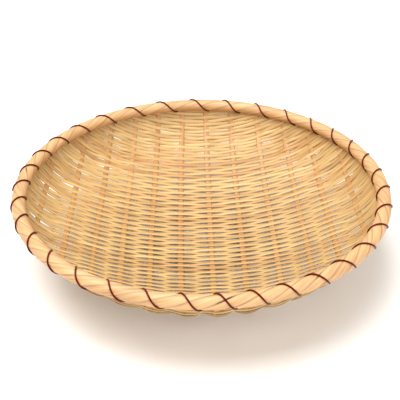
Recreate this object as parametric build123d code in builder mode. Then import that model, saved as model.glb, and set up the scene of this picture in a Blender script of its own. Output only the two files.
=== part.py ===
"""Round bamboo winnowing basket: a shallow woven dish on flat ribs, with a wrapped and wired rim.

Millimetres, +Z up. The origin is under the middle of the dish, at the height of its lowest weft.
The ribs run along Y and the wefts along X. Each weft passes inside one rib and outside the next.
"""

import os
from math import atan, cos, degrees, hypot, pi, radians, sin, tan

from build123d import *

# Overall sizes
RIM_DIAMETER = 380.0  # over the cover strips
RIM_WIDTH = 14.0  # radial, over the cover strips
RIM_HEIGHT = 13.0  # vertical, over the cover strips
DISH_DEPTH = 77.0  # from the middle of the rim down to the middle of the weave
DISH_FLATNESS = 2.2  # higher gives a flatter bottom
DISH_BELLY = 1.45  # higher gives a steeper wall under the rim

# Ribs
RIB_COUNT = 12
RIB_PITCH = 31.7  # along the surface of the dish, across the middle
RIB_SHIFT = -3.5  # how far the whole set of ribs sits off centre
RIB_DRIFT = (1.5, 2.5, 1.5, -1.0, -3.0, -3.0, -2.0, -0.5, 2.0, 3.0, 0.0, 0.0)  # hand spacing
RIB_WIDTH = 6.2
RIB_THICKNESS = 1.2
RIB_CONVERGENCE = 0.13  # share by which the ribs close up where they meet the rim
RIB_END_BELOW_MIDDLE = 1.4  # how far under the middle of the rim the rib ends stop

# Wefts
WEFT_PITCH = 4.2  # along the surface of the dish
WEFT_WIDTH = 3.8
WEFT_THICKNESS = 0.9
WEFT_SHORTEST = 56.0  # length of the first and last row, at least
WEFTS_PER_BAND = 7
RIB_CLEARANCE = 0.3  # between a weft and the rib it crosses
FLAT_BESIDE_RIB = 0.4  # how far past a rib's edge a weft stays flat
TAIL_LENGTH = 10.0  # over which a weft settles back to the wall past its last rib

# Rim
COVER_STRIPS = 6
COVER_THICKNESS = 1.1
COVER_CLEARANCE = 0.1  # between the hoops and the cover strips
COVER_GAP = 3.0  # degrees of the section between neighbouring strips
SLOT_OPENING = 34.0  # degrees of the section left open for the wall
SLOT_CLEARANCE = 0.3  # between a rib end and each hoop
JOINT_GAP = 1.0  # between the two ends of a hoop or strip

# Lashing
WIRE_DIAMETER = 1.6
WIRE_TURNS = 34
WIRE_RUNS_PER_TURN = 8
WIRE_BEND_SHARE = 0.45  # share of a straight run that each bend beside it may take
WIRE_FIRST_ANGLE = -96.0  # degrees round the rim
WIRE_CLEARANCE = 0.15  # to the cover strips
WIRE_TO_RIB = 1.3  # to a rib's edge where the wire passes the wall
WIRE_TO_WEFT = 0.8  # to the end of a weft
NUDGE_STEP = 0.25  # degrees, when a turn has to move off a rib

RIB_SAMPLES = 15
WALL_SAMPLES = (0.0, 0.2, 0.4, 0.55, 0.68, 0.78, 0.86, 0.92, 0.97, 1.0)

rim_radius = (RIM_DIAMETER - RIM_WIDTH) / 2
crossing_offset = (RIB_THICKNESS + WEFT_THICKNESS) / 2 + RIB_CLEARANCE
rim_height = DISH_DEPTH + crossing_offset + WEFT_THICKNESS / 2
cover_a = RIM_WIDTH / 2
cover_b = RIM_HEIGHT / 2
core_a = cover_a - COVER_THICKNESS - COVER_CLEARANCE
core_b = cover_b - COVER_THICKNESS - COVER_CLEARANCE
wrap_a = cover_a + WIRE_CLEARANCE + WIRE_DIAMETER / 2
wrap_b = cover_b + WIRE_CLEARANCE + WIRE_DIAMETER / 2
joint_angle = degrees(JOINT_GAP / rim_radius)


def dish_height(radius):
    """Height of the middle of the weave at a distance from the dish's axis."""
    share = min(abs(radius) / rim_radius, 1.0)
    return rim_height - DISH_DEPTH * (1 - share**DISH_FLATNESS) ** (1 / DISH_BELLY)


def dish_slope(radius):
    """Rise of the weave for each millimetre outwards, inside the rim."""
    share = abs(radius) / rim_radius
    steepness = (1 - share**DISH_FLATNESS) ** (1 / DISH_BELLY - 1)
    return DISH_DEPTH * DISH_FLATNESS / DISH_BELLY / rim_radius * share ** (DISH_FLATNESS - 1) * steepness


def radius_at_height(height):
    """Distance from the axis at which the middle of the weave reaches a height."""
    share = 1 - ((rim_height - height) / DISH_DEPTH) ** DISH_BELLY
    return rim_radius * share ** (1 / DISH_FLATNESS)


def distance_for_arc(arc, step=0.1):
    """Signed distance from the axis of the point this far along the surface from the middle."""
    travelled = 0.0
    radius = 0.0
    while travelled < abs(arc):
        travelled += step * hypot(1, dish_slope(radius + step / 2))
        radius += step
    return radius if arc > 0 else -radius


# ---- Places of the ribs, the wefts and the lashing ----

rib_middles = [
    distance_for_arc((i - (RIB_COUNT - 1) / 2) * RIB_PITCH + RIB_SHIFT + RIB_DRIFT[i % len(RIB_DRIFT)])
    for i in range(RIB_COUNT)
]
rib_end_radius = radius_at_height(rim_height - RIB_END_BELOW_MIDDLE)


def rib_x(middle, y):
    """Where the centreline of a rib is at a given y. The ribs close up towards the rim."""
    return middle * (1 - RIB_CONVERGENCE * (y / rim_radius) ** 2)


def rib_half(middle, y):
    """Half of a rib's width, measured level along X, where the rib is at a given y."""
    radius = hypot(rib_x(middle, y), y)
    steepness = dish_slope(min(radius, rib_end_radius)) * abs(rib_x(middle, y)) / max(radius, RIB_WIDTH)
    return RIB_WIDTH / 2 / hypot(1, steepness)


def wall_entry_angle(step=0.2):
    """Degrees of the rim's section, from straight outwards, at which the wire meets the wall."""
    angle = 180.0
    while rim_height + wrap_b * sin(radians(angle)) > dish_height(rim_radius + wrap_a * cos(radians(angle))):
        angle += step
    return angle


entry_angle = wall_entry_angle()
pierce_radius = rim_radius + wrap_a * cos(radians(entry_angle))
weft_end_radius = pierce_radius - WIRE_DIAMETER / 2 - WIRE_TO_WEFT


def weft_half(y):
    """Half of a weft's width, measured level along Y, for the row at y."""
    return WEFT_WIDTH / 2 / hypot(1, dish_slope(y))


def weft_reach(y):
    """How far along X the weft at y can go before it comes to the lashing."""
    outer_edge = abs(y) + weft_half(y)
    if outer_edge >= weft_end_radius:
        return 0.0
    return (weft_end_radius**2 - outer_edge**2) ** 0.5


def weft_rows():
    """The y of every row that is long enough, from the front of the dish to the back."""
    rows = [0.0]
    arc = WEFT_PITCH
    while 2 * weft_reach(distance_for_arc(arc)) >= WEFT_SHORTEST:
        rows = [-distance_for_arc(arc)] + rows + [distance_for_arc(arc)]
        arc += WEFT_PITCH
    return rows


def weave_side(x, y, row):
    """How far a weft stands off the middle of the weave at x: +1 inside a rib, -1 outside it."""
    places = [rib_x(middle, y) for middle in rib_middles]
    signs = [1 if (row + i) % 2 == 0 else -1 for i in range(RIB_COUNT)]
    flats = [rib_half(middle, y) + FLAT_BESIDE_RIB for middle in rib_middles]
    if x < places[0] or x > places[-1]:
        end = 0 if x < places[0] else -1
        past = abs(x - places[end]) - flats[end]
        return signs[end] * (1 - min(max(past / TAIL_LENGTH, 0.0), 1.0))
    i = max(k for k in range(RIB_COUNT) if places[k] <= x)
    if i == RIB_COUNT - 1:
        return signs[i]
    start = places[i] + flats[i]
    stop = places[i + 1] - flats[i + 1]
    share = min(max((x - start) / (stop - start), 0.0), 1.0)
    return signs[i] * cos(pi * share)


def weft_stations(y, reach):
    """The x of each point a weft is drawn through: its ends, each rib's edges and each gap."""
    stations = [-reach, reach]
    places = [rib_x(middle, y) for middle in rib_middles]
    for place, middle in zip(places, rib_middles):
        flat = rib_half(middle, y) + FLAT_BESIDE_RIB
        stations += [place - flat, place, place + flat]
    for left, right in zip(places, places[1:]):
        stations.append((left + right) / 2)
    kept = sorted(x for x in stations if abs(x) <= reach)
    spaced = [kept[0]]
    for x in kept[1:-1]:
        if x - spaced[-1] > WEFT_THICKNESS and kept[-1] - x > WEFT_THICKNESS:
            spaced.append(x)
    return spaced + [kept[-1]]


def weft_face_points(y, row, reach, face):
    """Points in the XZ plane along one face of a weft. The face is +1 inside and -1 outside."""
    points = []
    for x in weft_stations(y, reach):
        radius = hypot(x, y)
        slope_x = dish_slope(radius) * x / radius if radius > 0 else 0.0
        slope_y = dish_slope(radius) * y / radius if radius > 0 else 0.0
        offset = weave_side(x, y, row) * crossing_offset + face * WEFT_THICKNESS / 2
        stretch = hypot(1, slope_x, slope_y) / (1 + slope_x**2)
        points.append((x - offset * stretch * slope_x, dish_height(radius) + offset * stretch))
    return points


def lashing_angles():
    """Degrees round the rim at which each turn passes the wall, moved clear of the ribs."""

    def on_a_rib(angle):
        x = pierce_radius * cos(radians(angle))
        y = pierce_radius * sin(radians(angle))
        return any(
            abs(x - rib_x(middle, y)) < rib_half(middle, y) + WIRE_DIAMETER / 2 + WIRE_TO_RIB
            for middle in rib_middles
        )

    angles = []
    for turn in range(WIRE_TURNS):
        even = WIRE_FIRST_ANGLE + turn * 360 / WIRE_TURNS
        nudges = [0.0]
        while on_a_rib(even + nudges[-1]) and len(nudges) < 2 * 360 / WIRE_TURNS / NUDGE_STEP:
            step = (len(nudges) + 1) // 2 * NUDGE_STEP
            nudges.append(step if len(nudges) % 2 else -step)
        angles.append(even + nudges[-1])
    return angles


# ---- Ribs: flat strips that follow the dish from one side of the rim to the other ----


def beside_wall(radius, offset):
    """Point in the XZ plane at a distance from the middle of the weave, square to it."""
    slope = dish_slope(radius)
    return (radius - offset * slope / hypot(1, slope), dish_height(radius) + offset / hypot(1, slope))


wall_radii = [rib_end_radius * share for share in WALL_SAMPLES]

with BuildPart() as rib_layer:
    with BuildSketch(Plane.XZ):
        with BuildLine():
            inside = Spline(*[beside_wall(r, RIB_THICKNESS / 2) for r in wall_radii])
            outside = Spline(*[beside_wall(r, -RIB_THICKNESS / 2) for r in wall_radii])
            Line(inside @ 0, outside @ 0)
            Line(inside @ 1, outside @ 1)
        make_face()
    revolve(axis=Axis.Z)

ribs = []
for middle in rib_middles:
    rib_ys = [rim_radius * (2 * i / (RIB_SAMPLES - 1) - 1) for i in range(RIB_SAMPLES)]
    with BuildPart() as rib:
        with BuildSketch(Plane.XY):
            with BuildLine():
                left = Spline(*[(rib_x(middle, y) - rib_half(middle, y), y) for y in rib_ys])
                right = Spline(*[(rib_x(middle, y) + rib_half(middle, y), y) for y in rib_ys])
                Line(left @ 0, right @ 0)
                Line(left @ 1, right @ 1)
            make_face()
        extrude(amount=rim_height + RIM_HEIGHT)
        add(rib_layer.part, mode=Mode.INTERSECT)
    ribs.append(rib.part)

# ---- Wefts: narrow strips, each in front of one rib and behind the next ----

rows = weft_rows()
weft_bands = []
for first in range(0, len(rows), WEFTS_PER_BAND):
    with BuildPart() as weft_band:
        for row in range(first, min(first + WEFTS_PER_BAND, len(rows))):
            reach = weft_reach(rows[row])
            for edge in (rows[row] - weft_half(rows[row]), rows[row] + weft_half(rows[row])):
                with BuildSketch(Plane.XZ.offset(-edge)):
                    with BuildLine():
                        upper = Spline(*weft_face_points(edge, row, reach, 1))
                        lower = Spline(*weft_face_points(edge, row, reach, -1))
                        Line(upper @ 0, lower @ 0)
                        Line(upper @ 1, lower @ 1)
                    make_face()
            loft(ruled=True)
    weft_bands.append(weft_band.part)


# ---- Rim: two hoops that clamp the rib ends, and long strips laid along them as a cover ----


def section_plane(angle):
    """Upright plane through the axis, with its origin in the middle of the rim's section."""
    out = (cos(radians(angle)), sin(radians(angle)), 0)
    middle = (rim_radius * out[0], rim_radius * out[1], rim_height)
    return Plane(origin=middle, x_dir=out, z_dir=(out[1], -out[0], 0))


slot_mouth_radius = radius_at_height(rim_height - core_b)
slot_rise = core_b - RIB_END_BELOW_MIDDLE
slot_angle = degrees(atan(slot_rise / (rib_end_radius - slot_mouth_radius)))
slot_half = RIB_THICKNESS / 2 + SLOT_CLEARANCE
slot_line = Location((rib_end_radius - rim_radius, -RIB_END_BELOW_MIDDLE, 0), (0, 0, slot_angle))
hoops = []
for side in (1, -1):
    with BuildPart() as hoop:
        with BuildSketch(section_plane(90 + 90 * side)):
            Ellipse(core_a, core_b)
            with Locations(slot_line):
                with Locations((0, side * (slot_half - RIM_WIDTH / 2))):
                    Rectangle(2 * RIM_WIDTH, RIM_WIDTH, mode=Mode.SUBTRACT)
        revolve(axis=Axis.Z, revolution_arc=360 - joint_angle)
    hoops.append(hoop.part)

cover_span = (360 - SLOT_OPENING) / COVER_STRIPS
cover_start = entry_angle + SLOT_OPENING / 2
cover_strips = []
for i in range(COVER_STRIPS):
    low = radians(cover_start + i * cover_span + COVER_GAP / 2)
    high = radians(cover_start + (i + 1) * cover_span - COVER_GAP / 2)
    reach = 2 * RIM_WIDTH
    with BuildPart() as cover_strip:
        with BuildSketch(section_plane(i * 360 / COVER_STRIPS)):
            Ellipse(cover_a, cover_b)
            Ellipse(core_a + COVER_CLEARANCE, core_b + COVER_CLEARANCE, mode=Mode.SUBTRACT)
            with BuildLine():
                Polyline(
                    (0, 0),
                    (reach * cos(low), reach * sin(low)),
                    (reach * cos(high), reach * sin(high)),
                    close=True,
                )
            make_face(mode=Mode.INTERSECT)
        revolve(axis=Axis.Z, revolution_arc=360 - joint_angle)
    cover_strips.append(cover_strip.part)

# ---- Lashing: one wire wound round the rim and through the wall ----

corner_reach = 1 / cos(pi / WIRE_RUNS_PER_TURN)  # the runs touch the oval, so their corners stand off it
pierce_angles = lashing_angles()
wire_corners = []
for here, after in zip(pierce_angles, pierce_angles[1:]):
    for i in range(WIRE_RUNS_PER_TURN):
        share = i / WIRE_RUNS_PER_TURN
        round_rim = radians(here + (after - here) * share)
        round_section = radians(entry_angle - 360 * share)
        radius = rim_radius + wrap_a * corner_reach * cos(round_section)
        height = rim_height + wrap_b * corner_reach * sin(round_section)
        wire_corners.append(Vector(radius * cos(round_rim), radius * sin(round_rim), height))

wire_bends = []
for before, corner, after in zip(wire_corners, wire_corners[1:], wire_corners[2:]):
    run_in = corner - before
    run_out = after - corner
    half_turn = radians(run_in.get_angle(run_out)) / 2
    wire_bends.append(WIRE_BEND_SHARE * min(run_in.length, run_out.length) / tan(half_turn))

with BuildPart() as lashing:
    with BuildLine():
        wire_line = FilletPolyline(*wire_corners, radius=wire_bends)
    with BuildSketch(Plane(origin=wire_line @ 0, z_dir=wire_line % 0)):
        Circle(WIRE_DIAMETER / 2)
    sweep()

# ---- One file for each node ----

os.makedirs("parts", exist_ok=True)
nodes = {f"rib_{i + 1:02d}": part for i, part in enumerate(ribs)}
nodes.update({f"weft_band_{i + 1:02d}": part for i, part in enumerate(weft_bands)})
nodes.update({"rim_inner_hoop": hoops[0], "rim_outer_hoop": hoops[1]})
nodes.update({f"rim_strip_{i + 1:02d}": part for i, part in enumerate(cover_strips)})
nodes["rim_lashing"] = lashing.part
for name, part in nodes.items():
    part.label = name
    export_step(part, f"parts/{name}.step")
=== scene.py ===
"""Round bamboo winnowing basket: ribs, wefts, a wound rim and its lashing wire, in a studio.

Metres, +Z up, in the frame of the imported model. The ribs run along Y and the wefts along X.
"""

import logging
import math
import random
from dataclasses import dataclass, field
from enum import Enum

import bpy
import numpy as np
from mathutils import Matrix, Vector


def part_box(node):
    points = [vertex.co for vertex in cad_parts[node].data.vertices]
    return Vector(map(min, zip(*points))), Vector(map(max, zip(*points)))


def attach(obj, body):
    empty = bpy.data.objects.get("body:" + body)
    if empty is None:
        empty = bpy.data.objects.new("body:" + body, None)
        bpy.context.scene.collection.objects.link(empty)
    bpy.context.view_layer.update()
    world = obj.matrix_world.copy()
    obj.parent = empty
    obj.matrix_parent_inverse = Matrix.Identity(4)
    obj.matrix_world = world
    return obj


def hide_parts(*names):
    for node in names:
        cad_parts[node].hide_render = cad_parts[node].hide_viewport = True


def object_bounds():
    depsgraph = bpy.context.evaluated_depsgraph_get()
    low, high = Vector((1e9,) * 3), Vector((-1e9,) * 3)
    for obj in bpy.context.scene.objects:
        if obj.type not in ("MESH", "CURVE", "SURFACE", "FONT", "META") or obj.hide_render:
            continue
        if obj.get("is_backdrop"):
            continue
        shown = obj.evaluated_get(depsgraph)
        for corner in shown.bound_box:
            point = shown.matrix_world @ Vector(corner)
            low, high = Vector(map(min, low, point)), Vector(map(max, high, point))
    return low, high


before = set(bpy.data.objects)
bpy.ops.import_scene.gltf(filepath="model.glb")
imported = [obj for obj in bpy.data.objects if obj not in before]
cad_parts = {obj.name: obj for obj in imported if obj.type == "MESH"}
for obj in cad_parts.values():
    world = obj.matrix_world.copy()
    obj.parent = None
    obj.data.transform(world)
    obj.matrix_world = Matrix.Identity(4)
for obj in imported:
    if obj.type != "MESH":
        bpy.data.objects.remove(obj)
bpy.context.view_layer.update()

MM = 0.001
SLOPE_STEP = 0.1 * MM
# A strip's tone times this is its place in the noise, so no two strips share a pattern.
TONE_STRIDE = 791.0
log = logging.getLogger("basket")

Tree = bpy.types.NodeTree
Socket = bpy.types.NodeSocket


# ---------------------------------------------------------------- small helpers


def linear(hex_colour: str) -> tuple[float, float, float, float]:
    """Turns an sRGB hex colour into the linear colour that a shader takes.

    Args:
        hex_colour: Six hex digits, with or without a leading hash.

    Returns:
        Linear red, green, blue and an alpha of 1.
    """
    digits = hex_colour.lstrip("#")
    channels = [int(digits[i : i + 2], 16) / 255 for i in (0, 2, 4)]
    toned = [c / 12.92 if c <= 0.04045 else ((c + 0.055) / 1.055) ** 2.4 for c in channels]
    return (toned[0], toned[1], toned[2], 1.0)


def degrees_apart(first: np.ndarray, second: np.ndarray) -> np.ndarray:
    """The shortest way round between angles, in degrees and without a sign."""
    return np.abs(np.mod(first - second + 180, 360) - 180)


def add_node(tree: Tree, kind: str, settings: dict | None = None, **inputs) -> bpy.types.Node:
    """Adds one node to a tree, with its settings and what goes into it.

    Args:
        tree: The shader or geometry tree.
        kind: The node's type name.
        settings: Properties of the node itself.
        **inputs: Input sockets by name, with _ for a space, or by place as i0, i1 and so on.
            A socket is linked, and anything else becomes the input's own value.

    Returns:
        The new node.
    """
    node = tree.nodes.new(kind)
    for key, value in (settings or {}).items():
        setattr(node, key, value)
    for key, value in inputs.items():
        by_place = key[0] == "i" and key[1:].isdigit()
        socket = node.inputs[int(key[1:]) if by_place else key.replace("_", " ")]
        if isinstance(value, Socket):
            tree.links.new(value, socket)
        else:
            socket.default_value = value
    return node


def math_node(tree: Tree, operation: str, *values) -> Socket:
    """Adds a Math node of one operation and returns what comes out of it."""
    inputs = {f"i{i}": value for i, value in enumerate(values)}
    return add_node(tree, "ShaderNodeMath", {"operation": operation}, **inputs).outputs[0]


def read_attribute(tree: Tree, name: str) -> Socket:
    """Reads one of the mesh's own attributes as a number."""
    return add_node(tree, "ShaderNodeAttribute", {"attribute_name": name}).outputs["Fac"]


def blend(tree: Tree, share: Socket, first, second) -> Socket:
    """Mixes two colours or colour sockets, from the first at 0 to the second at 1."""
    mix = add_node(tree, "ShaderNodeMix", {"data_type": "RGBA"}, i0=share, i6=first, i7=second)
    return mix.outputs[2]


def remap(tree: Tree, value: Socket, given: tuple, made: tuple) -> Socket:
    """Stretches a number from one range to another, low end first, and holds it at the ends."""
    ends = {"From_Min": given[0], "From_Max": given[1], "To_Min": made[0], "To_Max": made[1]}
    return add_node(tree, "ShaderNodeMapRange", Value=value, **ends).outputs[0]


def noise(
    tree: Tree, place: Socket, detail: float, rough: float = 0.5, scale: float = 1.0
) -> Socket:
    """Adds noise with scale grains to each unit of the place, under finer layers of detail."""
    inputs = {"Vector": place, "Scale": scale, "Detail": detail, "Roughness": rough}
    return add_node(tree, "ShaderNodeTexNoise", **inputs).outputs["Fac"]


def add_relief(
    tree: Tree, shader: bpy.types.Node, height: Socket, deep: float, part: float
) -> None:
    """Lets a pattern catch the light, so many metres deep, of which the light sees a part."""
    bump = add_node(tree, "ShaderNodeBump", Height=height, Distance=deep, Strength=part)
    tree.links.new(bump.outputs[0], shader.inputs["Normal"])


def blank_material(name: str) -> tuple[bpy.types.Material, Tree, bpy.types.Node]:
    """Makes an empty material.

    Args:
        name: The material's name.

    Returns:
        The material, its tree and its shader.
    """
    material = bpy.data.materials.new(name)
    material.use_nodes = True
    return material, material.node_tree, material.node_tree.nodes["Principled BSDF"]


# ---------------------------------------------------------------- shape of the dish


@dataclass
class Dish:
    """The surface that the middle of the weave follows: a round dish that steepens to its rim.

    Attributes:
        rim_radius: From the axis to the middle of the rim's section.
        rim_height: Height of the middle of the rim's section.
        depth: From there down to the middle of the weave.
        flatness: Higher gives a flatter bottom.
        belly: Higher gives a steeper wall under the rim.
        swell: How far the wall swells outwards below the rim, between two turns of the lashing.
        swell_start: Share of the rim's radius where the swell begins.
        swell_sharpness: Higher gathers the swell into a narrower ring.
        tuck_depth: Share of the swell that is lost where the lashing pulls the wall in.
        tuck_reach: Distance along the rim over which it does.
        stitches: Degrees round the rim at which the lashing passes the wall.
    """

    rim_radius: float
    rim_height: float
    depth: float = 77 * MM
    flatness: float = 2.2
    belly: float = 1.45
    swell: float = 3.6 * MM
    swell_start: float = 0.74
    swell_sharpness: float = 1.3
    tuck_depth: float = 0.6
    tuck_reach: float = 7 * MM
    stitches: np.ndarray = field(default_factory=lambda: np.array([0.0]))

    @classmethod
    def from_frame(cls, rim_width: float) -> "Dish":
        """Reads the rim's place off the CAD's cover strips.

        Args:
            rim_width: Radial width of the rim over the strips.

        Returns:
            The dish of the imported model.
        """
        boxes = [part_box(name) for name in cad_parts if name.startswith("rim_strip")]
        outer = max(high[0] for _, high in boxes)
        low = min(low[2] for low, _ in boxes)
        high = max(high[2] for _, high in boxes)
        return cls(rim_radius=outer - rim_width / 2, rim_height=(low + high) / 2)

    def height(self, radius: np.ndarray) -> np.ndarray:
        """Height of the middle of the weave at each distance from the axis."""
        share = np.clip(radius / self.rim_radius, 0, 1)
        return self.rim_height - self.depth * (1 - share**self.flatness) ** (1 / self.belly)

    def points(self, x: np.ndarray, y: np.ndarray) -> np.ndarray:
        """Points of the surface, swollen outwards near the rim and pulled in at each stitch.

        Args:
            x: Place of each point.
            y: Place of each point.

        Returns:
            The points, as rows of three.
        """
        share = np.hypot(x, y) / self.rim_radius
        within = np.clip((share - self.swell_start) / (1 - self.swell_start), 0, 1)
        rise = np.sin(np.pi * within) ** self.swell_sharpness
        apart = degrees_apart(np.degrees(np.arctan2(y, x))[..., None], self.stitches)
        apart = np.radians(apart.min(axis=-1)) * self.rim_radius
        pulled = 1 - self.tuck_depth * np.exp(-((apart / self.tuck_reach) ** 2))
        flat = np.stack([x, y, self.height(np.hypot(x, y))], axis=-1)
        return flat - self.normals(x, y) * (self.swell * rise * pulled)[..., None]

    def normals(self, x: np.ndarray, y: np.ndarray) -> np.ndarray:
        """Unit normals that point up out of the dish.

        Args:
            x: Place of each point.
            y: Place of each point.

        Returns:
            The normals, as rows of three.
        """
        step = 0.02 * MM
        radius = np.maximum(np.hypot(x, y), step)
        slope = (self.height(radius + step) - self.height(radius - step)) / (2 * step)
        normal = np.stack([-slope * x / radius, -slope * y / radius, np.ones_like(x)], axis=-1)
        return normal / np.linalg.norm(normal, axis=-1, keepdims=True)


# ---------------------------------------------------------------- strands and what grows them


@dataclass
class Strand:
    """One strip or wire before it has a body.

    Attributes:
        points: The path, as rows of three.
        normals: Which way its face looks at each point.
        tone: Its share of the warm colour, from 0 to 1.
        offset: Where its grain starts, so that no two strips match.
        girth: Its width and thickness at each point, as a share of the full size.
        closed: Whether its end joins its start.
    """

    points: np.ndarray
    normals: np.ndarray
    tone: float
    offset: float = 0.0
    girth: np.ndarray | None = None
    closed: bool = False


def draft_mesh(name: str, strands: list[Strand]) -> bpy.types.Object:
    """Lays strands out as bare edges that carry what the ribbon tree reads.

    Args:
        name: Name of the new object.
        strands: The strands, in order.

    Returns:
        An object of edges with facing, girth, tone and along attributes.
    """
    edges: list[tuple[int, int]] = []
    columns: dict[str, list[np.ndarray]] = {"facing": [], "girth": [], "tone": [], "along": []}
    start = 0
    for strand in strands:
        count = len(strand.points)
        edges += [(start + i, start + i + 1) for i in range(count - 1)]
        if strand.closed:
            edges.append((start + count - 1, start))
        runs = np.linalg.norm(np.diff(strand.points, axis=0), axis=1)
        columns["facing"].append(strand.normals)
        columns["girth"].append(np.ones(count) if strand.girth is None else strand.girth)
        columns["tone"].append(np.full(count, strand.tone))
        columns["along"].append(strand.offset + np.concatenate([[0.0], np.cumsum(runs)]))
        start += count
    mesh = bpy.data.meshes.new(name)
    mesh.from_pydata(np.concatenate([s.points for s in strands]).tolist(), edges, [])
    for key, parts in columns.items():
        values = np.concatenate(parts).astype(np.float32)
        kind, holder = ("FLOAT_VECTOR", "vector") if values.ndim == 2 else ("FLOAT", "value")
        mesh.attributes.new(key, kind, "POINT").data.foreach_set(holder, values.ravel())
    draft = bpy.data.objects.new(name, mesh)
    bpy.context.scene.collection.objects.link(draft)
    return draft


@dataclass(frozen=True)
class Section:
    """The cross-section of a strip or wire.

    Attributes:
        width: From edge to edge.
        thickness: Through the middle.
        sides: Points round it.
        corner: 1 for an oval, towards 0 for a box.
        camber: How far the middle stands over the edges.
    """

    width: float
    thickness: float
    sides: int
    corner: float = 0.45
    camber: float = 0.12 * MM


class RibbonTree:
    """Geometry nodes that sweep a flat strip with rounded edges along every path of a draft.

    Inputs are Width, Thickness, Camber, Corner and Sides, as in Section, and Material. One tree
    serves ribs, wefts, rim strips and wire.
    """

    def __init__(self) -> None:
        """Builds the tree once."""
        self.tree = bpy.data.node_groups.new("ribbon_along_path", "GeometryNodeTree")
        sockets = (
            ("Geometry", "NodeSocketGeometry"),
            ("Width", "NodeSocketFloat"),
            ("Thickness", "NodeSocketFloat"),
            ("Camber", "NodeSocketFloat"),
            ("Corner", "NodeSocketFloat"),
            ("Sides", "NodeSocketInt"),
            ("Material", "NodeSocketMaterial"),
        )
        panel = self.tree.interface
        for name, kind in sockets:
            panel.new_socket(name=name, in_out="INPUT", socket_type=kind)
        panel.new_socket(name="Geometry", in_out="OUTPUT", socket_type="NodeSocketGeometry")
        self._wire()

    def _section(self, given: dict[str, Socket]) -> Socket:
        """Adds the nodes that shape the strip's cross-section.

        Args:
            given: The tree's inputs by name.

        Returns:
            The section curve, with an across attribute from -1 to 1.
        """
        tree = self.tree
        circle = add_node(
            tree, "GeometryNodeCurvePrimitiveCircle", Radius=1.0, Resolution=given["Sides"]
        )
        place = add_node(tree, "GeometryNodeInputPosition").outputs[0]
        split = add_node(tree, "ShaderNodeSeparateXYZ", i0=place)
        squared = []
        for value in split.outputs[:2]:
            size = math_node(tree, "POWER", math_node(tree, "ABSOLUTE", value), given["Corner"])
            squared.append(math_node(tree, "MULTIPLY", size, math_node(tree, "SIGN", value)))
        thick, across = squared
        marked = add_node(
            tree,
            "GeometryNodeStoreNamedAttribute",
            {"data_type": "FLOAT", "domain": "POINT"},
            Geometry=circle.outputs["Curve"],
            Name="across",
            Value=across,
        )
        half_width = math_node(tree, "MULTIPLY", given["Width"], 0.5)
        half_thick = math_node(tree, "MULTIPLY", given["Thickness"], 0.5)
        arch = math_node(tree, "MULTIPLY", across, across)
        drop = math_node(tree, "MULTIPLY", arch, given["Camber"])
        up = math_node(tree, "SUBTRACT", math_node(tree, "MULTIPLY", thick, half_thick), drop)
        side = math_node(tree, "MULTIPLY", across, half_width)
        shaped = add_node(tree, "ShaderNodeCombineXYZ", i0=up, i1=side)
        moved = add_node(
            tree, "GeometryNodeSetPosition", Geometry=marked.outputs[0], Position=shaped.outputs[0]
        )
        return moved.outputs[0]

    def _wire(self) -> None:
        """Adds and joins the nodes, from the draft's edges to the finished strips."""
        tree = self.tree
        group_in = add_node(tree, "NodeGroupInput")
        given = {socket.name: socket for socket in group_in.outputs if socket.name}
        facing, girth = (
            add_node(tree, "GeometryNodeInputNamedAttribute", {"data_type": kind}, Name=name)
            for name, kind in (("facing", "FLOAT_VECTOR"), ("girth", "FLOAT"))
        )
        path = add_node(tree, "GeometryNodeMeshToCurve", Mesh=given["Geometry"])
        faced = add_node(
            tree,
            "GeometryNodeSetCurveNormal",
            {"mode": "FREE"},
            Curve=path.outputs[0],
            Normal=facing.outputs["Attribute"],
        )
        body = add_node(
            tree,
            "GeometryNodeCurveToMesh",
            Curve=faced.outputs[0],
            Profile_Curve=self._section(given),
            Scale=girth.outputs["Attribute"],
            Fill_Caps=True,
        )
        real = add_node(tree, "GeometryNodeRealizeInstances", Geometry=body.outputs[0])
        dressed = add_node(
            tree, "GeometryNodeSetMaterial", Geometry=real.outputs[0], Material=given["Material"]
        )
        group_out = add_node(tree, "NodeGroupOutput")
        tree.links.new(dressed.outputs[0], group_out.inputs[0])

    def grow(
        self, draft: bpy.types.Object, section: Section, material: bpy.types.Material
    ) -> bpy.types.Object:
        """Gives a draft its body.

        Args:
            draft: The object of edges, which is used up.
            section: The cross-section of every strand in it.
            material: The finish.

        Returns:
            A plain mesh object of the same name.
        """
        modifier = draft.modifiers.new("ribbon", "NODES")
        modifier.node_group = self.tree
        ids = {i.name: i.identifier for i in self.tree.interface.items_tree if i.in_out == "INPUT"}
        for key, value in vars(section).items():
            modifier[ids[key.capitalize()]] = value
        modifier[ids["Material"]] = material
        evaluated = draft.evaluated_get(bpy.context.evaluated_depsgraph_get())
        mesh = bpy.data.meshes.new_from_object(evaluated)
        name = draft.name
        used_up = draft.data
        bpy.data.objects.remove(draft)
        bpy.data.meshes.remove(used_up)
        mesh.name = name
        mesh.shade_smooth()
        piece = bpy.data.objects.new(name, mesh)
        bpy.context.scene.collection.objects.link(piece)
        return piece


# ---------------------------------------------------------------- finishes


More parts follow.
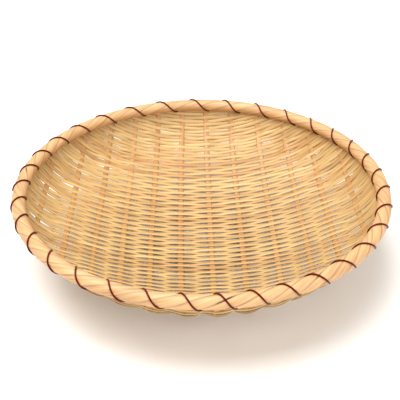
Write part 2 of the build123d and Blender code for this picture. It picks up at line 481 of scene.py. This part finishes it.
@dataclass(frozen=True)
class SplitBamboo:
    """Split bamboo, drawn through a knife and left bare: straight fibres under a soft satin skin.

    Attributes:
        pale: Colour of the lightest strips.
        warm: Colour of the strips nearest the skin of the cane.
        fibre: Colour of the fine dark fibres.
        fibre_width: Spacing of the fibres across a strip.
        fibre_range: Noise levels between which a fibre goes from unseen to full.
        cloud_size: Length and width of the soft lighter and darker patches.
        cloud_range: Brightness of the darkest and the lightest patch.
        strip_width: Width of the strip that the across attribute spans.
        streak: How strong the fibres show, from 0 to 1.
        relief_strength: How much of that height the light sees.
        edge: Painted shade: how much darker the very edges of a strip are, standing for the
            shade where two strips meet.
        edge_start: Share of the half width where that painted shade begins.
    """

    name: str
    pale: str
    warm: str
    fibre: str
    # Real fibres stand about 0.1 mm apart. They are drawn coarser, or they would blur to one tone.
    fibre_width: float = 0.35 * MM
    fibre_length: float = 22 * MM
    fibre_range: tuple[float, float] = (0.5, 0.78)
    cloud_size: tuple[float, float] = (45 * MM, 3 * MM)
    cloud_range: tuple[float, float] = (0.8, 1.14)
    strip_width: float = 4 * MM
    roughness: float = 0.42
    streak: float = 0.4
    relief: float = 0.05 * MM
    relief_strength: float = 0.6
    edge: float = 0.35
    edge_start: float = 0.78
    ior: float = 1.48

    def _strip_space(self, tree: Tree, length: float, width: float) -> Socket:
        """A vector that runs along and across the strip, in grain lengths and widths.

        Args:
            tree: The shader tree.
            length: Length of one grain of the pattern.
            width: Width of one grain of the pattern.

        Returns:
            The vector, shifted for each strip by its tone.
        """
        along, across, tone = (read_attribute(tree, name) for name in ("along", "across", "tone"))
        lengthwise = math_node(tree, "DIVIDE", along, length)
        crosswise = math_node(tree, "MULTIPLY", across, self.strip_width / 2 / width)
        own = math_node(tree, "MULTIPLY", tone, TONE_STRIDE)
        place = add_node(tree, "ShaderNodeCombineXYZ", i0=lengthwise, i1=crosswise, i2=own)
        return place.outputs[0]

    def build(self) -> bpy.types.Material:
        """Makes the material.

        Returns:
            The material, which reads the along, across and tone attributes of a grown strip.
        """
        material, tree, shader = blank_material(self.name)
        base = blend(tree, read_attribute(tree, "tone"), linear(self.pale), linear(self.warm))
        cloud = noise(tree, self._strip_space(tree, *self.cloud_size), detail=2.0)
        patch = remap(tree, cloud, (0.3, 0.7), self.cloud_range)
        grain_place = self._strip_space(tree, self.fibre_length, self.fibre_width)
        fibres = noise(tree, grain_place, detail=3.0, rough=0.6)
        share = remap(tree, fibres, self.fibre_range, (0.0, self.streak))
        streaked = blend(tree, share, base, linear(self.fibre))
        # Painted shade: each strip darkens towards its edges, for the shade where two strips meet.
        across = math_node(tree, "ABSOLUTE", read_attribute(tree, "across"))
        shade = remap(tree, across, (self.edge_start, 1.0), (1.0, 1 - self.edge))
        light = math_node(tree, "MULTIPLY", patch, shade)
        shaded = add_node(
            tree, "ShaderNodeVectorMath", {"operation": "SCALE"}, i0=streaked, Scale=light
        )
        tree.links.new(shaded.outputs[0], shader.inputs["Base Color"])
        add_relief(tree, shader, fibres, self.relief, self.relief_strength)
        shader.inputs["Roughness"].default_value = self.roughness
        shader.inputs["IOR"].default_value = self.ior
        return material


@dataclass(frozen=True)
class ShadedBentBamboo:
    """Thick bamboo bent into a hoop, with fine grain that runs round the hoop, coloured a dark
    brown that is painted shade, for the shade deep in the slits between cover strips.

    Attributes:
        pale: Colour between the fibres.
        dark: Colour of the fibres.
        grain_width: Spacing of the fibres across the hoop.
        relief_strength: How much of that height the light sees.
    """

    name: str
    pale: str = "#7a5732"
    dark: str = "#3f2a16"
    grain_length: float = 30 * MM
    # Coarser than the real 0.1 mm fibres, for the same reason as on the split strips.
    grain_width: float = 0.6 * MM
    roughness: float = 0.55
    relief: float = 0.05 * MM
    relief_strength: float = 0.5

    def build(self) -> bpy.types.Material:
        """Makes the material.

        Returns:
            The material, which reads object coordinates, with the hoop's axis on Z.
        """
        material, tree, shader = blank_material(self.name)
        place = add_node(tree, "ShaderNodeTexCoord").outputs["Object"]
        x, y, z = add_node(tree, "ShaderNodeSeparateXYZ", i0=place).outputs
        squares = [math_node(tree, "MULTIPLY", value, value) for value in (x, y)]
        out = math_node(tree, "SQRT", math_node(tree, "ADD", *squares))
        # Height and distance from the axis both step across the fibres, so no face lacks grain.
        across = math_node(tree, "DIVIDE", math_node(tree, "ADD", z, out), self.grain_width)
        grain_place = add_node(
            tree,
            "ShaderNodeCombineXYZ",
            i0=math_node(tree, "DIVIDE", x, self.grain_length),
            i1=math_node(tree, "DIVIDE", y, self.grain_length),
            i2=across,
        ).outputs[0]
        grain = noise(tree, grain_place, detail=3.0)
        colour = blend(tree, grain, linear(self.pale), linear(self.dark))
        tree.links.new(colour, shader.inputs["Base Color"])
        add_relief(tree, shader, grain, self.relief, self.relief_strength)
        shader.inputs["Roughness"].default_value = self.roughness
        return material


@dataclass(frozen=True)
class EnamelledWire:
    """Soft iron wire under dark red-brown enamel: nearly black in the flat, red where it shines.

    Attributes:
        colour: Of the whole enamel.
        worn: Of the enamel where handling has darkened it.
        sheen: Of the shine.
        wear_length: Length of one darkened place along the wire.
        shine: Strength of the shine.
    """

    name: str
    colour: str = "#5e0d07"
    worn: str = "#2c0704"
    sheen: str = "#e0594a"
    wear_length: float = 9 * MM
    roughness: float = 0.28
    shine: float = 0.8

    def build(self) -> bpy.types.Material:
        """Makes the material.

        Returns:
            The material, which reads the along attribute of a grown wire.
        """
        material, tree, shader = blank_material(self.name)
        along = math_node(tree, "DIVIDE", read_attribute(tree, "along"), self.wear_length)
        place = add_node(tree, "ShaderNodeCombineXYZ", i0=along).outputs[0]
        wear = noise(tree, place, detail=2.0)
        colour = blend(tree, wear, linear(self.colour), linear(self.worn))
        tree.links.new(colour, shader.inputs["Base Color"])
        shader.inputs["Roughness"].default_value = self.roughness
        shader.inputs["Specular IOR Level"].default_value = self.shine
        shader.inputs["Specular Tint"].default_value = linear(self.sheen)
        return material


# ---------------------------------------------------------------- sub-assemblies


class Crossing(Enum):
    """On which side of a rib a weft passes."""

    INSIDE = 1
    OUTSIDE = -1

    @classmethod
    def of(cls, row: int, rib: int) -> "Crossing":
        """The crossing of a row and a rib in plain weave."""
        return cls.INSIDE if (row + rib) % 2 == 0 else cls.OUTSIDE


@dataclass
class Ribs:
    """The flat strips that run from the front of the rim to the back and carry the weave.

    Attributes:
        convergence: Share of its distance from the middle that a rib closes up by at the rim.
        end_gap: From a rib's end to the middle of the rim's section.
    """

    dish: Dish
    section: Section = Section(width=6.2 * MM, thickness=1.2 * MM, sides=12)
    convergence: float = 0.13
    end_gap: float = 1.2 * MM
    steps: int = 90
    search_steps: int = 4000
    seed: int = 5

    def __post_init__(self) -> None:
        """Reads each rib's place off its CAD node."""
        self.nodes = sorted(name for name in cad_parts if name.startswith("rib_"))
        self.middles = np.array([self._middle(*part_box(name)) for name in self.nodes])

    def _middle(self, low: Vector, high: Vector) -> float:
        """Where a rib crosses the dish's middle line, from its box.

        Args:
            low: Lowest corner of the rib's box.
            high: Highest corner of the rib's box.

        Returns:
            The signed distance from the axis.
        """
        outer = high[0] if abs(high[0]) > abs(low[0]) else low[0]
        near, far = self.dish.height(np.array([abs(outer), abs(outer) + SLOPE_STEP]))
        slope = float(far - near) / SLOPE_STEP
        return outer - math.copysign(self.section.width / 2 / math.hypot(1, slope), outer)

    def x_at(self, middle: np.ndarray, y: np.ndarray) -> np.ndarray:
        """Where the line that starts at a middle place is at each y, closing up to the rim."""
        return middle * (1 - self.convergence * (y / self.dish.rim_radius) ** 2)

    def strands(self) -> list[Strand]:
        """Lays out one strand for each rib.

        Returns:
            The strands, in the order of the nodes.
        """
        draw = random.Random(self.seed)
        radius = self.dish.rim_radius
        out = []
        for middle in self.middles:
            ys = np.linspace(-radius, radius, self.search_steps)
            xs = self.x_at(middle, ys)
            inside = np.hypot(xs, ys) < radius - self.end_gap
            ends = ys[inside][[0, -1]]
            spaced = 1 - np.cos(np.linspace(0, np.pi, self.steps))
            y = ends[0] + (ends[1] - ends[0]) * spaced / 2
            x = self.x_at(middle, y)
            points, normals = self.dish.points(x, y), self.dish.normals(x, y)
            out.append(Strand(points, normals, draw.random(), draw.random()))
        return out

    def build(self, ribbons: RibbonTree, material: bpy.types.Material) -> list[bpy.types.Object]:
        """Makes a piece for each rib.

        Args:
            ribbons: The tree that gives strands their body.
            material: The ribs' finish.

        Returns:
            The pieces.
        """
        pieces = []
        for node, strand in zip(self.nodes, self.strands()):
            draft = draft_mesh(f"split_{node}", [strand])
            piece = ribbons.grow(draft, self.section, material)
            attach(piece, "root")
            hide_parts(node)
            pieces.append(piece)
        return pieces


@dataclass
class Weave:
    """The wefts: fine strips across the ribs, each inside one rib and outside the next.

    Attributes:
        clearance: Air between a weft and the rib it crosses.
        flat_beside_rib: How far a weft stays level past a rib's edge.
        tail: Distance past the last rib over which a weft comes back to the middle.
        tuck: From a weft's end to the middle of the rim's section.
        thinning: Share of the crossing's height lost where the wefts are beaten flat.
        beaten: How flat they are beaten in the middle, and what the back and the sides add.
        crowding: How much wider a weft is at the rim, where wefts are pressed together.
        jitter: How far a weft strays from its place.
        wobble: Height of each wave in a weft's line.
        wave_lengths_mm: Shortest and longest such wave.
        wave_phase: Top of the range that a wave's start is drawn from, about one full turn.
        girths: Smallest and largest share of the full size.
        warm_bands: Middle and spread of the warmer bands, from -1 at the front to 1 at the back.
        odd_share: Share of the wefts that are warmer on their own.
        least_points: A weft with fewer points is too short to lay.
    """

    dish: Dish
    ribs: Ribs
    pitch: float = 4.2 * MM
    section: Section = Section(width=4.06 * MM, thickness=0.85 * MM, sides=8)
    clearance: float = 0.06 * MM
    flat_beside_rib: float = 0.5 * MM
    tail: float = 11 * MM
    tuck: float = 1.0 * MM
    thinning: float = 0.6
    beaten: tuple[float, float, float] = (0.35, 0.9, 0.8)
    crowding: float = 0.13
    jitter: float = 0.16 * MM
    wobble: float = 0.09 * MM
    wave_count: int = 3
    wave_lengths_mm: tuple[float, float] = (60, 150)
    wave_phase: float = 6.28
    girths: tuple[float, float] = (0.96, 1.05)
    plain_tone: float = 0.55
    warm_bands: tuple[tuple[float, float], ...] = ((0.62, 0.05), (-0.66, 0.07))
    band_tone: float = 0.5
    odd_share: float = 0.15
    odd_tone: float = 0.35
    steps: int = 260
    search_steps: int = 240
    least_points: int = 6
    seed: int = 11

    def _side(self, lines: np.ndarray, x: np.ndarray, y: np.ndarray, row: int) -> np.ndarray:
        """How far a weft stands off the middle of the weave, from -1 outside to 1 inside.

        Args:
            lines: The lengthwise line that each point lies on, by its middle place.
            x: Place of each point.
            y: Place of each point.
            row: The weft's number.

        Returns:
            The share of the full offset at each point.
        """
        radius = np.hypot(x, y)
        slope = (self.dish.height(radius + SLOPE_STEP) - self.dish.height(radius)) / SLOPE_STEP
        tilt = np.hypot(1, slope * x / np.maximum(radius, SLOPE_STEP))
        flat = self.ribs.section.width / 2 / tilt + self.flat_beside_rib
        middles = self.ribs.middles
        signs = np.array([Crossing.of(row, i).value for i in range(len(middles))])
        left = np.clip(np.searchsorted(middles, lines) - 1, 0, len(middles) - 2)
        free = np.maximum(middles[left + 1] - middles[left] - 2 * flat, SLOPE_STEP)
        share = np.clip((lines - middles[left] - flat) / free, 0, 1)
        side = signs[left] * np.cos(np.pi * share)
        before = lines < middles[0]
        past = middles[0] - lines[before] - flat[before]
        side[before] = signs[0] * np.clip(1 - past / self.tail, 0, 1)
        after = lines > middles[-1]
        past = lines[after] - middles[-1] - flat[after]
        side[after] = signs[-1] * np.clip(1 - past / self.tail, 0, 1)
        return side

    def _path(self, arc: float, draw: random.Random) -> tuple[np.ndarray, np.ndarray, np.ndarray]:
        """Where a weft runs, the same distance along every lengthwise line from the middle.

        Args:
            arc: The distance, negative to the front.
            draw: The source of chance, for the hand's unevenness.

        Returns:
            The lines, and the x and y of the points, from left to right.
        """
        limit = self.dish.rim_radius - self.tuck
        lines = limit * np.sin(np.linspace(-np.pi / 2, np.pi / 2, self.steps))
        ys = np.linspace(0, limit, self.search_steps)
        grid_x = self.ribs.x_at(lines[:, None], ys[None, :])
        heights = self.dish.height(np.hypot(grid_x, ys[None, :]))
        sideways = np.hypot(np.diff(heights, axis=1), np.diff(grid_x, axis=1))
        runs = np.hypot(np.diff(ys)[None, :], sideways)
        arcs = np.concatenate([np.zeros((len(lines), 1)), np.cumsum(runs, axis=1)], axis=1)
        waves = [
            (draw.uniform(*self.wave_lengths_mm) * MM, draw.uniform(0, self.wave_phase))
            for _ in range(self.wave_count)
        ]
        strays = sum(np.sin(2 * np.pi * lines / length + phase) for length, phase in waves)
        along = arc + self.wobble * strays
        y = np.array([np.interp(abs(along[i]), arcs[i], ys) for i in range(len(lines))])
        x = self.ribs.x_at(lines, y)
        # The end points lie on the limit itself, and rounding may put them just past it.
        kept = (np.hypot(x, y) <= limit + 0.01 * MM) & (y < limit - 0.1 * MM)
        return lines[kept], x[kept], np.sign(along[kept]) * y[kept]

    def strands(self) -> list[Strand]:
        """Lays out every weft.

        Returns:
            The strands, from the front to the back.
        """
        draw = random.Random(self.seed)
        radius_step = 0.2 * MM
        radii = np.arange(0, self.dish.rim_radius - self.tuck, radius_step)
        reach = float(np.sum(np.hypot(radius_step, np.diff(self.dish.height(radii)))))
        count = int(reach / self.pitch)
        both = self.section.thickness + self.ribs.section.thickness
        stand_off = both / 2 + self.clearance
        out = []
        for row in range(-count, count + 1):
            arc = row * self.pitch + draw.uniform(-self.jitter, self.jitter)
            lines, x, y = self._path(arc, draw)
            tone = self._tone(arc / reach, draw)
            girth = draw.uniform(*self.girths)
            start = draw.random()
            if len(x) < self.least_points:
                continue
            normals = self.dish.normals(x, y)
            side = self._side(lines, x, y, row)
            offset = side * stand_off * (1 - self.thinning * self._beaten(x, y))
            points = self.dish.points(x, y) + normals * offset[:, None]
            wall = (np.hypot(x, y) / self.dish.rim_radius) ** 3
            crowd = self.crowding * (1 + np.abs(x) / self.dish.rim_radius)
            out.append(Strand(points, normals, tone, start, girth * (1 + crowd * wall)))
        return out

    def _beaten(self, x: np.ndarray, y: np.ndarray) -> np.ndarray:
        """How flat the wefts are beaten down.

        Args:
            x: Place of each point.
            y: Place of each point.

        Returns:
            From 0 in the middle to 1 at the rim, sooner at the sides and the back.
        """
        radius = self.dish.rim_radius
        share = np.hypot(x, y) / radius
        middle, back, side = self.beaten
        sides = np.clip(middle + back * y / radius + side * np.abs(x) / radius, 0, 1)
        return np.clip(sides * share**3 + share**10, 0, 1)

    def _tone(self, place: float, draw: random.Random) -> float:
        """Colour share of one weft.

        Args:
            place: Where it lies, from -1 at the front to 1 at the back.
            draw: The source of chance.

        Returns:
            0 for the palest to 1 for the warmest, warmer in two bands.
        """
        tone = draw.uniform(0.0, self.plain_tone)
        band = max(math.exp(-(((place - mid) / spread) ** 2)) for mid, spread in self.warm_bands)
        odd = self.odd_tone if draw.random() < self.odd_share else 0.0
        return min(1.0, tone + self.band_tone * band + odd)

    def build(self, ribbons: RibbonTree, material: bpy.types.Material) -> list[bpy.types.Object]:
        """Makes one piece of wefts for each CAD band.

        Args:
            ribbons: The tree that gives strands their body.
            material: The wefts' finish.

        Returns:
            The pieces, from the front to the back.
        """
        nodes = sorted(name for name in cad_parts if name.startswith("weft_band"))
        strands = self.strands()
        share = math.ceil(len(strands) / len(nodes))
        pieces = []
        for i, node in enumerate(nodes):
            draft = draft_mesh(f"split_{node}", strands[i * share : (i + 1) * share])
            piece = ribbons.grow(draft, self.section, material)
            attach(piece, "root")
            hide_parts(node)
            pieces.append(piece)
        return pieces


@dataclass
class Rim:
    """The rim: long flat strips wound slowly round the hoops, and the wire that lashes them.

    Attributes:
        strip_count: Cover strips side by side.
        strip_winds: Times it winds round the section on its way round the rim.
        strip_phase: Degrees round the section where the first strip starts.
        splits: Places where strips gape: degrees round the rim, spread, and share of width lost.
        wire_turns: Turns that the wire takes round the section.
        wire_rest: Share of the last turn that is left off.
        wire_bite: How far the wire sinks into the cover.
        wire_start: Degrees round the rim where the wire starts.
        wall_angle: Degrees round the section where the wire passes through the wall.
        hand_drift: Waves in the spacing of the turns: number round the rim, degrees, phase.
        gathered: Where the turns are pulled back: degrees round the rim, spread, and pull.
        pinch: How far the wire presses the cover in.
        pinch_reach: Distance along the rim over which it does.
    """

    dish: Dish
    width: float = 14 * MM
    height: float = 13 * MM
    strip_count: int = 4
    strip_width: float = 9.4 * MM
    strip_thickness: float = 1.3 * MM
    strip_corner: float = 0.5
    strip_sides: int = 16
    strip_winds: int = 11
    strip_phase: float = 45.0
    strip_tones: tuple[float, float] = (0.1, 0.6)
    strip_steps: int = 720
    splits: tuple[tuple[float, float, float], ...] = (
        (-85.4, 3.0, 0.26),
        (-58.5, 1.6, 0.18),
        (172.0, 2.0, 0.15),
    )
    wire_diameter: float = 1.6 * MM
    wire_sides: int = 10
    wire_turns: int = 34
    wire_rest: float = 0.3
    wire_steps: int = 30
    wire_bite: float = 0.45 * MM
    wire_start: float = -176.6
    wall_angle: float = 250.0
    hand_drift: tuple[tuple[int, float, float], ...] = (
        (1, 3.54, 25.3),
        (2, 1.73, 248.9),
        (3, 1.03, 208.3),
    )
    gathered: tuple[float, float, float] = (-55.0, 34.0, 4.0)
    pinch: float = 0.55 * MM
    pinch_reach: float = 3.2 * MM
    seed: int = 3

    def on_section(
        self, around: np.ndarray, section: np.ndarray, half_width: float, half_height: float
    ) -> tuple[np.ndarray, np.ndarray]:
        """Points on an oval carried round the rim.

        Args:
            around: Angles round the rim, in radians.
            section: Angles round the section, from straight outwards, in radians.
            half_width: Half of the oval's radial width.
            half_height: Half of the oval's height.

        Returns:
            The points and the oval's outward normals there.
        """
        radius = self.dish.rim_radius + half_width * np.cos(section)
        height = self.dish.rim_height + half_height * np.sin(section)
        points = np.stack([radius * np.cos(around), radius * np.sin(around), height], axis=-1)
        out = np.cos(section) / half_width
        up = np.sin(section) / half_height
        normals = np.stack([out * np.cos(around), out * np.sin(around), up], axis=-1)
        return points, normals / np.linalg.norm(normals, axis=-1, keepdims=True)

    def wire_angles(self, share: np.ndarray) -> np.ndarray:
        """How far round the rim the wire has come, spaced by hand.

        Args:
            share: Turns taken so far.

        Returns:
            Degrees round the rim.
        """
        even = share * 360 / self.wire_turns
        drift = sum(
            size * np.cos(np.radians(wave * even - phase)) for wave, size, phase in self.hand_drift
        )
        place, spread, pull = self.gathered
        pulled = pull * np.exp(-(((self.wire_start + even - place) / spread) ** 2))
        return self.wire_start + even + drift - pulled

    def squeeze(self, around: np.ndarray, section: np.ndarray) -> np.ndarray:
        """How far the wire presses the cover in, between full under it and none midway.

        Args:
            around: Angles round the rim, in radians.
            section: Angles round the section, in radians.

        Returns:
            The inward distance at each point.
        """
        part = np.mod((self.wall_angle - np.degrees(section)) / 360, 1)
        turns = np.arange(-1, self.wire_turns + 1)
        wire = self.wire_angles(part[:, None] + turns[None, :])
        apart = degrees_apart(np.degrees(around)[:, None], wire).min(axis=1)
        reach = np.radians(apart) * self.dish.rim_radius / self.pinch_reach
        return self.pinch * np.exp(-(reach**2))

    def strip_strands(self) -> list[Strand]:
        """Lays out the cover strips, which close on themselves after their winds.

        Returns:
            One strand for each strip.
        """
        draw = random.Random(self.seed)
        around = np.linspace(0, 2 * np.pi, self.strip_steps, endpoint=False)
        half_width = (self.width - self.strip_thickness) / 2
        half_height = (self.height - self.strip_thickness) / 2
        out = []
        for i in range(self.strip_count):
            section = np.radians(self.strip_phase) + 2 * np.pi * i / self.strip_count
            section = section + self.strip_winds * around
            points, normals = self.on_section(around, section, half_width, half_height)
            points = points - normals * self.squeeze(around, section)[:, None]
            girth = np.ones(len(around))
            for place, spread, share in self.splits:
                apart = degrees_apart(np.degrees(around), place)
                girth -= share * np.exp(-((apart / spread) ** 2))
            tone, offset = draw.uniform(*self.strip_tones), draw.random()
            out.append(Strand(points, normals, tone, offset, girth, closed=True))
        return out

    def wire_strand(self) -> Strand:
        """Lays out the lashing wire.

        Returns:
            The strand, from the wire's first turn to its last.
        """
        share = np.linspace(0, self.wire_turns - self.wire_rest, self.wire_turns * self.wire_steps)
        around = np.radians(self.wire_angles(share))
        section = np.radians(self.wall_angle - 360 * share)
        stand_off = self.wire_diameter / 2 - self.wire_bite
        half_width, half_height = self.width / 2 + stand_off, self.height / 2 + stand_off
        points, normals = self.on_section(around, section, half_width, half_height)
        return Strand(points, normals, tone=0.5)

    def build(
        self, ribbons: RibbonTree, cover: bpy.types.Material, wire: bpy.types.Material
    ) -> list[bpy.types.Object]:
        """Makes the cover strips and the wire.

        Args:
            ribbons: The tree that gives strands their body.
            cover: The strips' finish.
            wire: The wire's finish.

        Returns:
            The pieces.
        """
        nodes = sorted(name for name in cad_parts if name.startswith("rim_strip"))
        # A cover strip bends over the rim like its oval section, of about this mean radius.
        section_radius = (self.width + self.height) / 4
        camber = (self.strip_width / 2) ** 2 / (2 * section_radius)
        strip = Section(
            self.strip_width, self.strip_thickness, self.strip_sides, self.strip_corner, camber
        )
        pieces = []
        strands = self.strip_strands()
        for i, strand in enumerate(strands):
            draft = draft_mesh(f"cover_strip_{i + 1:02d}", [strand])
            piece = ribbons.grow(draft, strip, cover)
            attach(piece, "root")
            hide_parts(*nodes[i :: len(strands)])
            pieces.append(piece)
        round_wire = Section(self.wire_diameter, self.wire_diameter, self.wire_sides, 1.0, 0.0)
        piece = ribbons.grow(draft_mesh("lashing_wire", [self.wire_strand()]), round_wire, wire)
        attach(piece, "root")
        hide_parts("rim_lashing")
        pieces.append(piece)
        return pieces


@dataclass
class Studio:
    """The camera, the pale floor and the soft lights.

    Attributes:
        turn: Degrees that it stands to the side of the front.
        floor_scale: Patches of that mottling to a metre.
        surroundings: Strength of the white light from all sides.
        key: Place, side and watts of the overhead light.
        fill: Place, side and watts of the front light.
    """

    dish: Dish
    distance: float = 823.5 * MM
    elevation: float = 31.95
    turn: float = -1.25
    lens: float = 72.8
    sensor: float = 36.0
    clip_start: float = 0.01
    shift: tuple[float, float] = (-0.0037, -0.0373)
    floor_half: float = 4.0
    floor_gap: float = 0.2 * MM
    floor_colours: tuple[tuple, tuple] = ((0.93, 0.92, 0.895, 1.0), (0.91, 0.9, 0.875, 1.0))
    floor_scale: float = 12.0
    floor_roughness: float = 0.8
    surroundings: float = 0.66
    key: tuple = ((-0.45, -0.05, 1.7), 1.4, 41.0)
    fill: tuple = ((0.9, -1.4, 0.9), 1.2, 13.5)

    def camera(self) -> None:
        """Places the camera, looking at the middle of the rim's circle."""
        data = bpy.data.cameras.new("camera")
        data.lens = self.lens
        data.sensor_width = self.sensor
        data.shift_x, data.shift_y = self.shift
        data.clip_start = self.clip_start
        camera = bpy.data.objects.new("camera", data)
        bpy.context.scene.collection.objects.link(camera)
        tilt = math.radians(self.elevation)
        turn = math.radians(self.turn)
        level = math.cos(tilt)
        away = Vector((math.sin(turn) * level, -math.cos(turn) * level, math.sin(tilt)))
        target = Vector((0, 0, self.dish.rim_height))
        camera.location = target + away * self.distance
        camera.rotation_euler = (-away).to_track_quat("-Z", "Y").to_euler()
        bpy.context.scene.camera = camera

    def floor(self) -> None:
        """Lays a wide pale floor under the basket."""
        half = self.floor_half
        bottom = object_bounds()[0][2] - self.floor_gap
        mesh = bpy.data.meshes.new("floor")
        corners = [(x * half, y * half, bottom) for x, y in ((-1, -1), (1, -1), (1, 1), (-1, 1))]
        mesh.from_pydata(corners, [], [(0, 1, 2, 3)])
        # White paper: plain and matt, so that nothing but a soft shadow draws the eye.
        material, tree, shader = blank_material("white_paper_floor")
        place = add_node(tree, "ShaderNodeTexCoord").outputs["Object"]
        mottle = noise(tree, place, detail=2.0, scale=self.floor_scale)
        colour = blend(tree, mottle, *self.floor_colours)
        tree.links.new(colour, shader.inputs["Base Color"])
        shader.inputs["Roughness"].default_value = self.floor_roughness
        mesh.materials.append(material)
        floor = bpy.data.objects.new("floor", mesh)
        bpy.context.scene.collection.objects.link(floor)
        floor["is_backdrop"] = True

    @staticmethod
    def light(name: str, place: tuple[float, float, float], size: float, power: float) -> None:
        """Adds one square soft light that looks at the basket.

        Args:
            name: Name of the light.
            place: Where it stands.
            size: Side of its square.
            power: In watts.
        """
        data = bpy.data.lights.new(name, "AREA")
        data.shape = "SQUARE"
        data.size = size
        data.energy = power
        lamp = bpy.data.objects.new(name, data)
        lamp.location = place
        lamp.rotation_euler = (-Vector(place)).to_track_quat("-Z", "Y").to_euler()
        bpy.context.scene.collection.objects.link(lamp)

    def lights(self) -> None:
        """Sets the lights and the pale surroundings."""
        world = bpy.data.worlds.new("studio")
        world.use_nodes = True
        background = world.node_tree.nodes["Background"]
        background.inputs["Color"].default_value = (1.0, 1.0, 1.0, 1.0)
        background.inputs["Strength"].default_value = self.surroundings
        bpy.context.scene.world = world
        self.light("key_overhead", *self.key)
        self.light("fill_front", *self.fill)
        bpy.context.scene.view_settings.view_transform = "Standard"

    def build(self) -> None:
        """Sets everything up, the camera first."""
        self.camera()
        self.floor()
        self.lights()


def main() -> None:
    """Builds the studio and the basket, and reports each piece."""
    logging.basicConfig(level=logging.INFO, format="%(name)s: %(message)s")
    dish = Dish.from_frame(Rim.width)
    Studio(dish).build()
    ribbons = RibbonTree()
    # Wefts: straw yellow with fine straight fibres, uneven from strip to strip, so that the
    # eye sees a field of single strips and not a sheet.
    weft_finish = SplitBamboo(
        "bamboo_weft", pale="#ceac71", warm="#b98951", fibre="#7d5a30"
    ).build()
    # Ribs: a shade browner than the wefts, so that they show as rows of darker stitches.
    rib_finish = SplitBamboo(
        "bamboo_rib", pale="#c08f58", warm="#b48049", fibre="#80562b", strip_width=6 * MM
    ).build()
    # Cover strips: peach, with broad fibres and edges darkened more by painted shade, which show
    # which way they wind.
    rim_finish = SplitBamboo(
        "bamboo_cover",
        pale="#d6a976",
        warm="#cb9866",
        fibre="#94653a",
        fibre_width=0.6 * MM,
        strip_width=9 * MM,
        roughness=0.48,
        streak=0.6,
        edge=0.5,
    ).build()
    # Hoops: dark brown and dull as painted shade, so that a shallow gap between cover strips
    # shows as a dark slit.
    hoop_shade_finish = ShadedBentBamboo("bamboo_hoop_painted_shade").build()
    # Wire: a thin dark line with a red glint, the one strong contrast on the basket.
    wire_finish = EnamelledWire("enamelled_wire").build()
    rim = Rim(dish)
    dish.stitches = rim.wire_angles(np.arange(rim.wire_turns))
    ribs = Ribs(dish)
    pieces = ribs.build(ribbons, rib_finish)
    pieces += Weave(dish, ribs).build(ribbons, weft_finish)
    pieces += rim.build(ribbons, rim_finish, wire_finish)
    for piece in pieces:
        log.info("%s has %d faces", piece.name, len(piece.data.polygons))
    # The hoops take the painted-shade finish, which darkens the slits between the cover strips.
    for name in ("rim_inner_hoop", "rim_outer_hoop"):
        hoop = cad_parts[name]
        hoop.data.materials.clear()
        hoop.data.materials.append(hoop_shade_finish)


if __name__ == "__main__":
    main()
